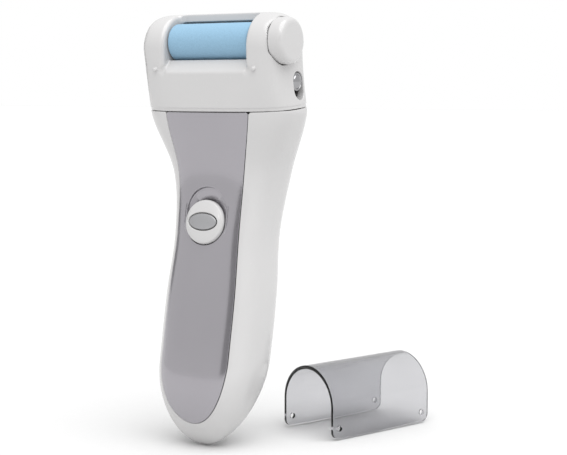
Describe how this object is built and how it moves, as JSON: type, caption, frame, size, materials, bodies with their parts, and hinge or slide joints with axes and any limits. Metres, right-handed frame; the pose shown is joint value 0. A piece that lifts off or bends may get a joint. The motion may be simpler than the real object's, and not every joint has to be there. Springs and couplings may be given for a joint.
{
  "type": "electric callus remover",
  "caption": "Upright battery foot file: curved white handle with a silver front, sliding switch, blue abrasive roller between arms, side knob, release button and a loose see-through cap.",
  "frame": {"origin": "centre of the handle's waist, where a hand holds it", "axes": "+Z along the handle towards the roller, +X towards the end knob, -Y towards the switch and the silver panel"},
  "size_m": [0.0969, 0.1062, 0.178],
  "materials": {
    "white_plastic": "glossy white moulded plastic",
    "silver_panel": "glossy silver lacquer",
    "abrasive": "light blue mineral grit",
    "chrome_trim": "satin chrome plating",
    "grey_insert": "grey satin",
    "smoke_plastic": "smoky see-through",
    "dark_plastic": "dark moulded",
    "acetal": "natural moulded",
    "steel": "bright",
    "brass": "turned",
    "copper_winding": "enamelled wire",
    "board": "green solder mask",
    "red_wire": "insulated",
    "black_wire": "insulated",
    "cell_skin": "printed sleeve"
  },
  "bodies": {
    "housing": {"battery_1": "cell_skin", "battery_2": "cell_skin", "battery_tray": "dark_plastic", "circuit_board": "board", "contact_bridge": "steel", "contact_spring_lower": "steel", "contact_spring_upper": "steel", "front_panel": "silver_panel", "gear_axle": "steel", "gear_cover": "white_plastic", "gear_cover_screw_1": "steel", "gear_cover_screw_2": "steel", "handle_shell": "white_plastic", "head_housing": "white_plastic", "head_screw_left": "steel", "head_screw_right": "steel", "latch_retainer": "dark_plastic", "motor_can": "steel", "motor_end_cap": "dark_plastic", "motor_screw_1": "steel", "motor_screw_2": "steel", "release_spring": "steel", "slide_switch": "dark_plastic", "spindle_bush": "brass", "terminal_negative": "steel", "terminal_positive": "steel", "wire_cell_black": "black_wire", "wire_cell_red": "red_wire", "wire_motor_black": "black_wire", "wire_motor_red": "red_wire"},
    "cartridge": {"end_knob": "white_plastic", "roller_axle": "steel"},
    "roller": {"roller_sleeve": "abrasive", "roller_core": "acetal"},
    "drive": {"drive_gear": "acetal", "drive_spindle": "steel"},
    "compound": {"compound_gear": "acetal"},
    "motor": {"motor_rotor": "copper_winding", "motor_shaft": "steel", "motor_pinion": "brass"},
    "power_switch": {"switch_slider": "white_plastic", "switch_insert": "grey_insert", "switch_lever": "acetal"},
    "release": {"release_button": "chrome_trim", "latch_plate": "dark_plastic"},
    "rear_cover": {"battery_cover": "white_plastic"},
    "cap": {"protective_cap": "smoke_plastic"}
  },
  "joints": [
    {"name": "cartridge_slide", "type": "slide", "parent": "housing", "child": "cartridge", "axis": [1, 0, 0], "range_m": [0, 0.06]},
    {"name": "roller_spin", "type": "hinge", "parent": "cartridge", "child": "roller", "pos_m": [0, -0.0082, 0.0782], "axis": [1, 0, 0], "continuous": true},
    {"name": "drive_spin", "type": "hinge", "parent": "housing", "child": "drive", "pos_m": [0, -0.0082, 0.0782], "axis": [1, 0, 0], "continuous": true},
    {"name": "compound_spin", "type": "hinge", "parent": "housing", "child": "compound", "pos_m": [0, -0.00411, 0.06907], "axis": [1, 0, 0], "continuous": true},
    {"name": "motor_spin", "type": "hinge", "parent": "housing", "child": "motor", "pos_m": [0, -0.0006, 0.0576], "axis": [1, 0, 0], "continuous": true},
    {"name": "power_switch_slide", "type": "slide", "parent": "housing", "child": "power_switch", "axis": [0, 0.1758, 0.9844], "range_m": [0, 0.005]},
    {"name": "release_button_slide", "type": "slide", "parent": "housing", "child": "release", "axis": [0, 0, -1], "range_m": [0, 0.0033], "stiffness_N_per_m": 300, "springref_m": -0.001, "deforming": ["release_spring"]},
    {"name": "battery_cover_slide", "type": "slide", "parent": "housing", "child": "rear_cover", "axis": [0, 1, 0], "range_m": [0, 0.03]},
    {"name": "cap_lift", "type": "slide", "parent": "housing", "child": "cap", "axis": [0, 0, 1], "range_m": [0, 0.12]}
  ],
  "couplings": [
    {"joint": "roller_spin", "follows": "motor_spin", "ratio": 0.22222},
    {"joint": "drive_spin", "follows": "motor_spin", "ratio": 0.22222},
    {"joint": "compound_spin", "follows": "motor_spin", "ratio": -0.33333}
  ]
}
